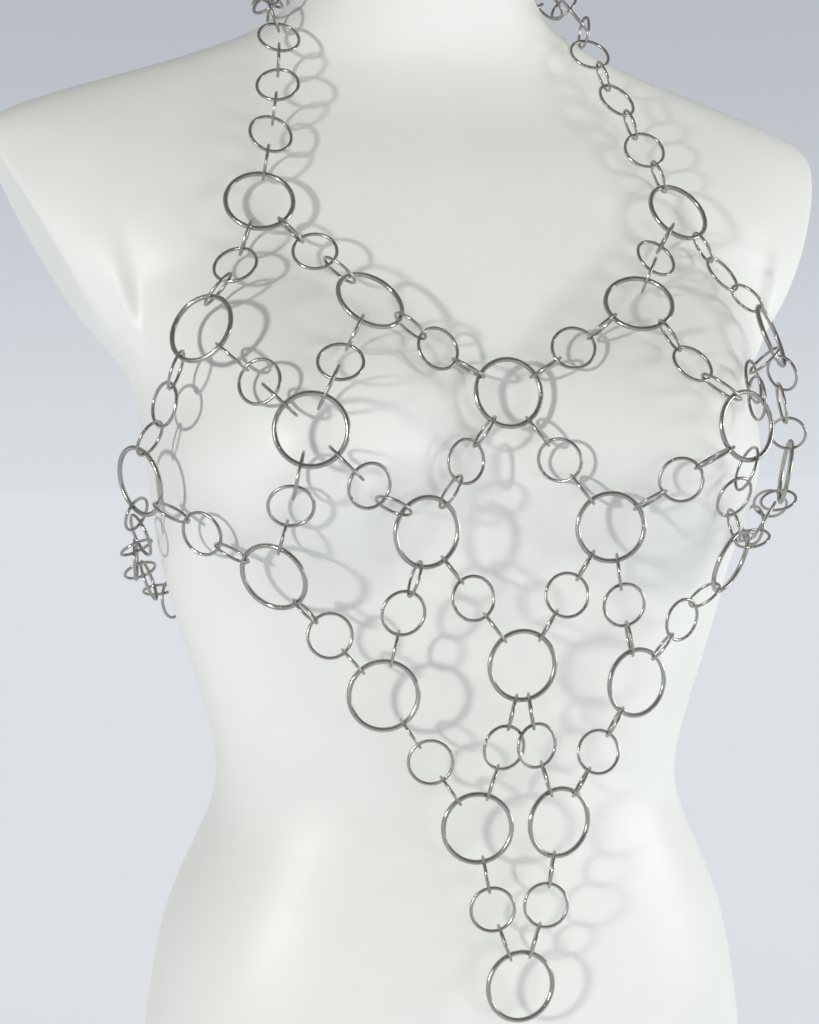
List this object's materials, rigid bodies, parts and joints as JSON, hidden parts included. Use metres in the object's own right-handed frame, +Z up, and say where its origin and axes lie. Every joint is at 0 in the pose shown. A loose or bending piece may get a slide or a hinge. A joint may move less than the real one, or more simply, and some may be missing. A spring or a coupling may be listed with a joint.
{
  "type": "ring chainmail halter top on a torso dress form",
  "caption": "Halter top of linked large, medium and small metal rings, hung from a neck chain and a back chain on a limbless torso dress form that stands on its flat base.",
  "frame": {"origin": "middle of the dress form's flat base, at the height of the surface that it stands on", "axes": "+Z up the form, -Y out of its front, +X to the wearer's left"},
  "size_m": [0.426, 0.2585, 0.64],
  "materials": {
    "form_satin": "smooth off-white satin",
    "large_ring_nickel": "polished nickel",
    "small_ring_nickel": "polished nickel"
  },
  "bodies": {
    "root": {"back_chain_left": "small_ring_nickel", "back_chain_right": "small_ring_nickel", "link_a2_b1_left": "small_ring_nickel", "link_a2_b1_right": "small_ring_nickel", "link_a2_b3_left": "small_ring_nickel", "link_a2_b3_right": "small_ring_nickel", "link_b1_c0_left": "small_ring_nickel", "link_b1_c0_right": "small_ring_nickel", "link_b1_c2_left": "small_ring_nickel", "link_b1_c2_right": "small_ring_nickel", "link_b3_c2_left": "small_ring_nickel", "link_b3_c2_right": "small_ring_nickel", "link_b3_c4_left": "small_ring_nickel", "link_b3_c4_right": "small_ring_nickel", "link_c0_d1_left": "small_ring_nickel", "link_c0_d1_right": "small_ring_nickel", "link_c2_d1_left": "small_ring_nickel", "link_c2_d1_right": "small_ring_nickel", "link_c2_d3_left": "small_ring_nickel", "link_c2_d3_right": "small_ring_nickel", "link_c4_d3_left": "small_ring_nickel", "link_c4_d3_right": "small_ring_nickel", "link_d1_e0_left": "small_ring_nickel", "link_d1_e0_right": "small_ring_nickel", "link_d1_e2_left": "small_ring_nickel", "link_d1_e2_right": "small_ring_nickel", "link_d3_e2_left": "small_ring_nickel", "link_d3_e2_right": "small_ring_nickel", "link_e0_f1_left": "small_ring_nickel", "link_e0_f1_right": "small_ring_nickel", "link_e2_f1_left": "small_ring_nickel", "link_e2_f1_right": "small_ring_nickel", "link_f1_g0_left": "small_ring_nickel", "link_f1_g0_right": "small_ring_nickel", "neck_chain_left": "small_ring_nickel", "neck_chain_right": "small_ring_nickel", "ring_a2_left": "large_ring_nickel", "ring_a2_right": "large_ring_nickel", "ring_b1_left": "large_ring_nickel", "ring_b1_right": "large_ring_nickel", "ring_b3_left": "large_ring_nickel", "ring_b3_right": "large_ring_nickel", "ring_c0": "large_ring_nickel", "ring_c2_left": "large_ring_nickel", "ring_c2_right": "large_ring_nickel", "ring_c4_left": "large_ring_nickel", "ring_c4_right": "large_ring_nickel", "ring_d1_left": "large_ring_nickel", "ring_d1_right": "large_ring_nickel", "ring_d3_left": "large_ring_nickel", "ring_d3_right": "large_ring_nickel", "ring_e0": "large_ring_nickel", "ring_e2_left": "large_ring_nickel", "ring_e2_right": "large_ring_nickel", "ring_f1_left": "large_ring_nickel", "ring_f1_right": "large_ring_nickel", "ring_g0": "large_ring_nickel", "torso_form": "form_satin"}
  },
  "joints": []
}
